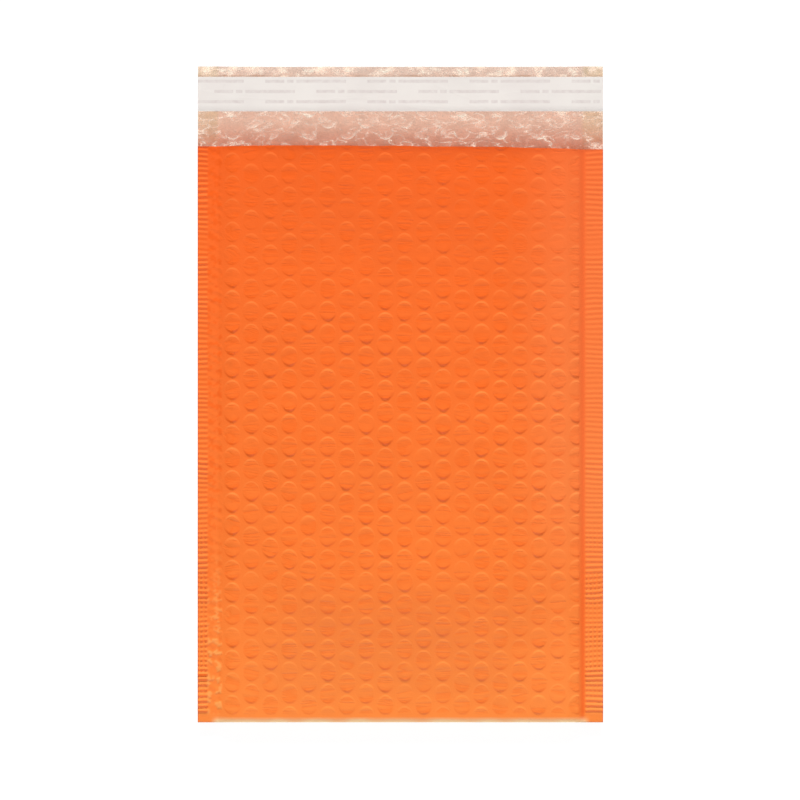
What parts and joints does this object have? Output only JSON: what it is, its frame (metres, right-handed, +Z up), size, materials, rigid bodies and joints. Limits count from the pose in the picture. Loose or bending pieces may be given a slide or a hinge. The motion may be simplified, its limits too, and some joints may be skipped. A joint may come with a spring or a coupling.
{
  "type": "padded envelope",
  "caption": "Bubble-lined film mailing envelope: a web folded at the bottom and heat-sealed down both sides, with an open flap carrying an adhesive strip under a peel-off liner.",
  "frame": {"origin": "on the resting face, under the middle of the outline of the opened-out envelope", "axes": "+X across the envelope, +Y from the bottom fold towards the flap's free edge, +Z up out of the front panel"},
  "size_m": [0.2, 0.324, 0.0136],
  "materials": {
    "orange_film": "opaque orange polyethylene film, satin, a little creased over the air cells",
    "clear_cell_film": "clear formed polyethylene film, glossy",
    "clear_lining": "clear smooth polyethylene film, glossy and slightly wrinkled",
    "hot_melt": "pale translucent pressure-sensitive adhesive",
    "liner_paper": "siliconed white release paper, semi-matt"
  },
  "bodies": {
    "root": {"outer_film": "orange_film", "bubble_film": "clear_cell_film", "lining_film": "clear_lining", "adhesive_strip": "hot_melt", "release_liner": "liner_paper"}
  },
  "joints": []
}
